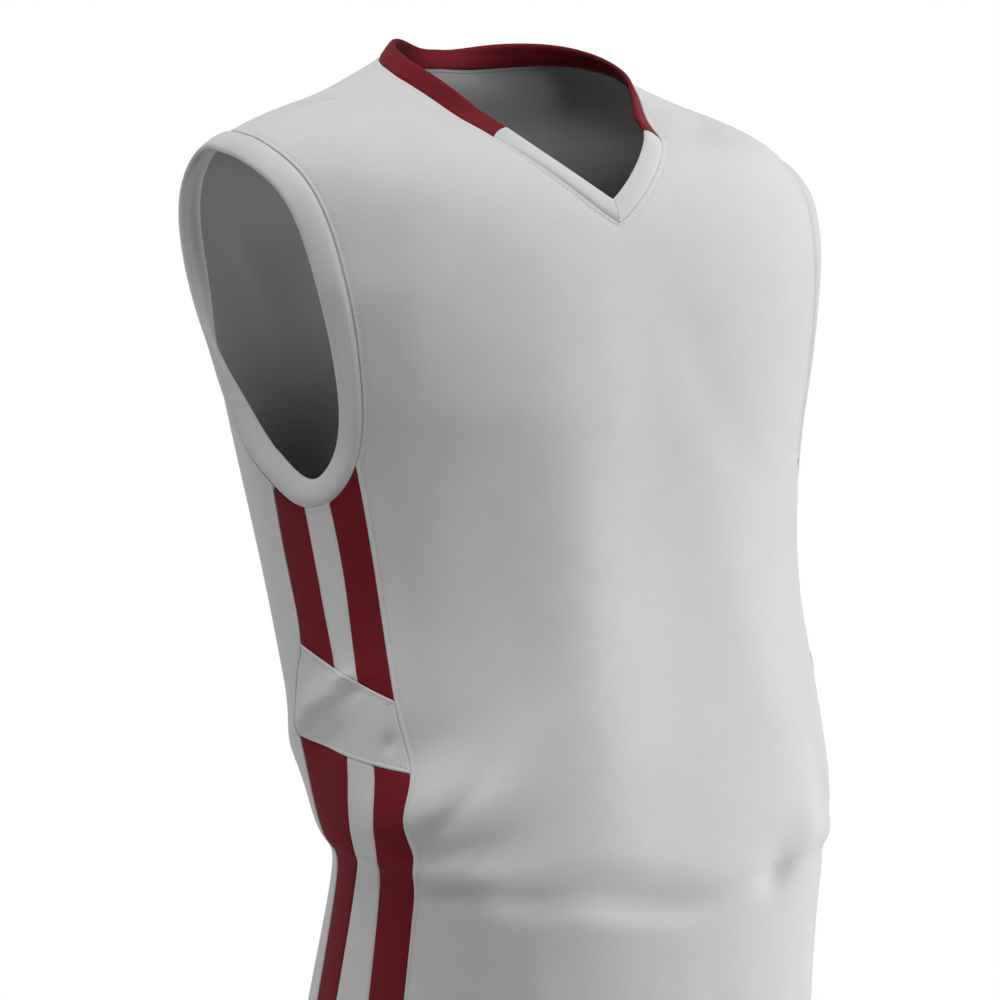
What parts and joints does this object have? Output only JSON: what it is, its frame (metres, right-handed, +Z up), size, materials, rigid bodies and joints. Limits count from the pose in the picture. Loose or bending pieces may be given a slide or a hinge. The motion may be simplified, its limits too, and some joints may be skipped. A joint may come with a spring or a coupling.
{
  "type": "basketball jersey",
  "caption": "Sleeveless basketball jersey with a V collar, bound armholes and striped side panels, filled out in the hollow form it has when worn.",
  "frame": {"origin": "at the shoulder line, in the middle of the neck, where the wearer's shoulders hold the jersey up", "axes": "+Z up, from the hem to the neck; the front faces -Y; +X is the wearer's left"},
  "size_m": [0.427, 0.3096, 0.7603],
  "materials": {
    "white_knit": "fine matte polyester knit with a slight sheen",
    "red_knit": "fine matte dark red polyester knit",
    "white_rib": "folded white rib knit",
    "red_rib": "folded dark red rib knit"
  },
  "bodies": {
    "root": {"front_panel": "white_knit", "back_panel": "white_knit", "shoulder_strip_left": "white_knit", "shoulder_strip_right": "white_knit", "collar_back": "red_rib", "collar_front_left": "white_rib", "collar_front_right": "white_rib", "armhole_binding_left": "white_rib", "armhole_binding_right": "white_rib", "front_stripe_lower_left": "red_knit", "centre_stripe_lower_left": "white_knit", "rear_stripe_lower_left": "red_knit", "front_stripe_upper_left": "red_knit", "centre_stripe_upper_left": "white_knit", "rear_stripe_upper_left": "red_knit", "cross_band_left": "white_knit", "front_stripe_lower_right": "red_knit", "centre_stripe_lower_right": "white_knit", "rear_stripe_lower_right": "red_knit", "front_stripe_upper_right": "red_knit", "centre_stripe_upper_right": "white_knit", "rear_stripe_upper_right": "red_knit", "cross_band_right": "white_knit"}
  },
  "joints": []
}
